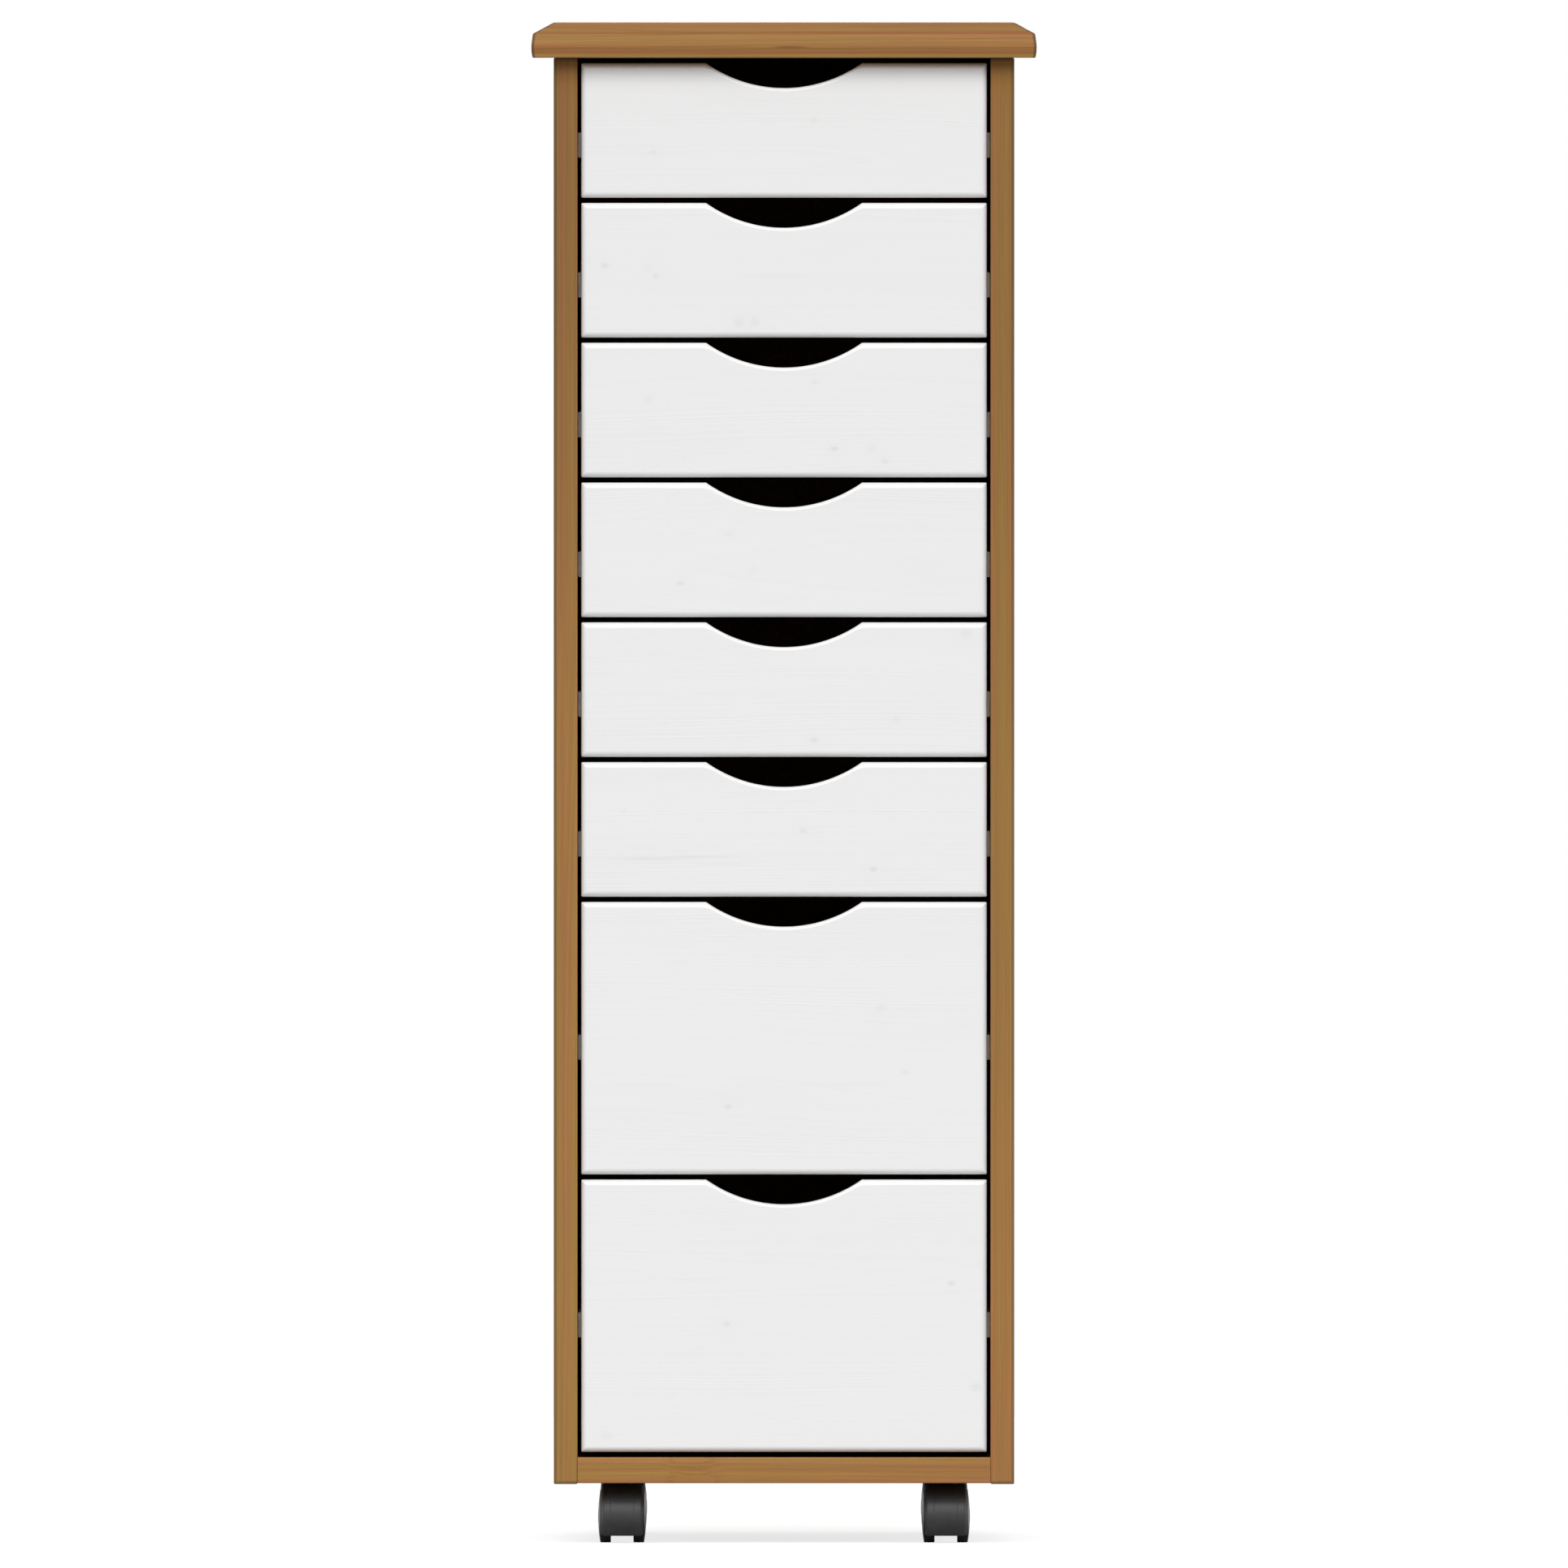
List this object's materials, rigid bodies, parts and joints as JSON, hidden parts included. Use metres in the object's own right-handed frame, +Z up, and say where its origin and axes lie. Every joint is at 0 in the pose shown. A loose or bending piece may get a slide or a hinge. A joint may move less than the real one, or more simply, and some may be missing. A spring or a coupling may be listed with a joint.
{
  "type": "rolling drawer cabinet",
  "caption": "Tall narrow pine pedestal on casters with low drawers over deep ones, each white front pulled by a round scoop in its top edge.",
  "frame": {"origin": "on the floor under the middle of the top board, where the wheels stand", "axes": "+Z up, the drawer fronts face -Y, +X to the right of someone who looks at the fronts"},
  "size_m": [0.34, 0.39, 1.024],
  "materials": {
    "stained_pine": "honey brown stain under satin lacquer, open pine grain",
    "back_board": "thin board, matt, stained to match",
    "white_lacquer": "white satin lacquer over pine, faint grain and knots",
    "bare_pine": "clear matt varnish on pale pine",
    "thin_plywood": "thin plywood, matt",
    "runner_plastic": "pale smooth plastic",
    "caster_black": "glossy black nylon",
    "wheel_black": "black nylon, a little worn on the treads",
    "stem_steel": "bright zinc-plated steel"
  },
  "bodies": {
    "cabinet": {"top_board": "stained_pine", "left_side_panel": "stained_pine", "right_side_panel": "stained_pine", "bottom_board": "stained_pine", "back_panel": "back_board", "runner_1_left": "runner_plastic", "runner_1_right": "runner_plastic", "runner_2_left": "runner_plastic", "runner_2_right": "runner_plastic", "runner_3_left": "runner_plastic", "runner_3_right": "runner_plastic", "runner_4_left": "runner_plastic", "runner_4_right": "runner_plastic", "runner_5_left": "runner_plastic", "runner_5_right": "runner_plastic", "runner_6_left": "runner_plastic", "runner_6_right": "runner_plastic", "runner_7_left": "runner_plastic", "runner_7_right": "runner_plastic", "runner_8_left": "runner_plastic", "runner_8_right": "runner_plastic", "caster_front_left_stem": "stem_steel", "caster_front_right_stem": "stem_steel", "caster_rear_left_stem": "stem_steel", "caster_rear_right_stem": "stem_steel"},
    "drawer_1": {"drawer_1_front": "white_lacquer", "drawer_1_box": "bare_pine", "drawer_1_bottom": "thin_plywood"},
    "drawer_2": {"drawer_2_front": "white_lacquer", "drawer_2_box": "bare_pine", "drawer_2_bottom": "thin_plywood"},
    "drawer_3": {"drawer_3_front": "white_lacquer", "drawer_3_box": "bare_pine", "drawer_3_bottom": "thin_plywood"},
    "drawer_4": {"drawer_4_front": "white_lacquer", "drawer_4_box": "bare_pine", "drawer_4_bottom": "thin_plywood"},
    "drawer_5": {"drawer_5_front": "white_lacquer", "drawer_5_box": "bare_pine", "drawer_5_bottom": "thin_plywood"},
    "drawer_6": {"drawer_6_front": "white_lacquer", "drawer_6_box": "bare_pine", "drawer_6_bottom": "thin_plywood"},
    "drawer_7": {"drawer_7_front": "white_lacquer", "drawer_7_box": "bare_pine", "drawer_7_bottom": "thin_plywood"},
    "drawer_8": {"drawer_8_front": "white_lacquer", "drawer_8_box": "bare_pine", "drawer_8_bottom": "thin_plywood"},
    "caster_front_left": {"caster_front_left_housing": "caster_black"},
    "caster_front_right": {"caster_front_right_housing": "caster_black"},
    "caster_rear_left": {"caster_rear_left_housing": "caster_black"},
    "caster_rear_right": {"caster_rear_right_housing": "caster_black"},
    "wheels_front_left": {"caster_front_left_wheels": "wheel_black"},
    "wheels_front_right": {"caster_front_right_wheels": "wheel_black"},
    "wheels_rear_left": {"caster_rear_left_wheels": "wheel_black"},
    "wheels_rear_right": {"caster_rear_right_wheels": "wheel_black"}
  },
  "joints": [
    {"name": "drawer_1_slide", "type": "slide", "parent": "cabinet", "child": "drawer_1", "axis": [0, -1, 0], "range_m": [0, 0.26]},
    {"name": "drawer_2_slide", "type": "slide", "parent": "cabinet", "child": "drawer_2", "axis": [0, -1, 0], "range_m": [0, 0.26]},
    {"name": "drawer_3_slide", "type": "slide", "parent": "cabinet", "child": "drawer_3", "axis": [0, -1, 0], "range_m": [0, 0.26]},
    {"name": "drawer_4_slide", "type": "slide", "parent": "cabinet", "child": "drawer_4", "axis": [0, -1, 0], "range_m": [0, 0.26]},
    {"name": "drawer_5_slide", "type": "slide", "parent": "cabinet", "child": "drawer_5", "axis": [0, -1, 0], "range_m": [0, 0.26]},
    {"name": "drawer_6_slide", "type": "slide", "parent": "cabinet", "child": "drawer_6", "axis": [0, -1, 0], "range_m": [0, 0.26]},
    {"name": "drawer_7_slide", "type": "slide", "parent": "cabinet", "child": "drawer_7", "axis": [0, -1, 0], "range_m": [0, 0.26]},
    {"name": "drawer_8_slide", "type": "slide", "parent": "cabinet", "child": "drawer_8", "axis": [0, -1, 0], "range_m": [0, 0.26]},
    {"name": "caster_front_left_swivel", "type": "hinge", "parent": "cabinet", "child": "caster_front_left", "pos_m": [-0.109, -0.134, 0.0406], "axis": [0, 0, 1], "continuous": true},
    {"name": "caster_front_right_swivel", "type": "hinge", "parent": "cabinet", "child": "caster_front_right", "pos_m": [0.109, -0.134, 0.0406], "axis": [0, 0, 1], "continuous": true},
    {"name": "caster_rear_left_swivel", "type": "hinge", "parent": "cabinet", "child": "caster_rear_left", "pos_m": [-0.109, 0.149, 0.0406], "axis": [0, 0, 1], "continuous": true},
    {"name": "caster_rear_right_swivel", "type": "hinge", "parent": "cabinet", "child": "caster_rear_right", "pos_m": [0.109, 0.149, 0.0406], "axis": [0, 0, 1], "continuous": true},
    {"name": "wheels_front_left_roll", "type": "hinge", "parent": "caster_front_left", "child": "wheels_front_left", "pos_m": [-0.109, -0.14498, 0.01785], "axis": [1, 0, 0], "continuous": true},
    {"name": "wheels_front_right_roll", "type": "hinge", "parent": "caster_front_right", "child": "wheels_front_right", "pos_m": [0.109, -0.14498, 0.01785], "axis": [1, 0, 0], "continuous": true},
    {"name": "wheels_rear_left_roll", "type": "hinge", "parent": "caster_rear_left", "child": "wheels_rear_left", "pos_m": [-0.109, 0.13802, 0.01785], "axis": [1, 0, 0], "continuous": true},
    {"name": "wheels_rear_right_roll", "type": "hinge", "parent": "caster_rear_right", "child": "wheels_rear_right", "pos_m": [0.109, 0.13802, 0.01785], "axis": [1, 0, 0], "continuous": true}
  ]
}
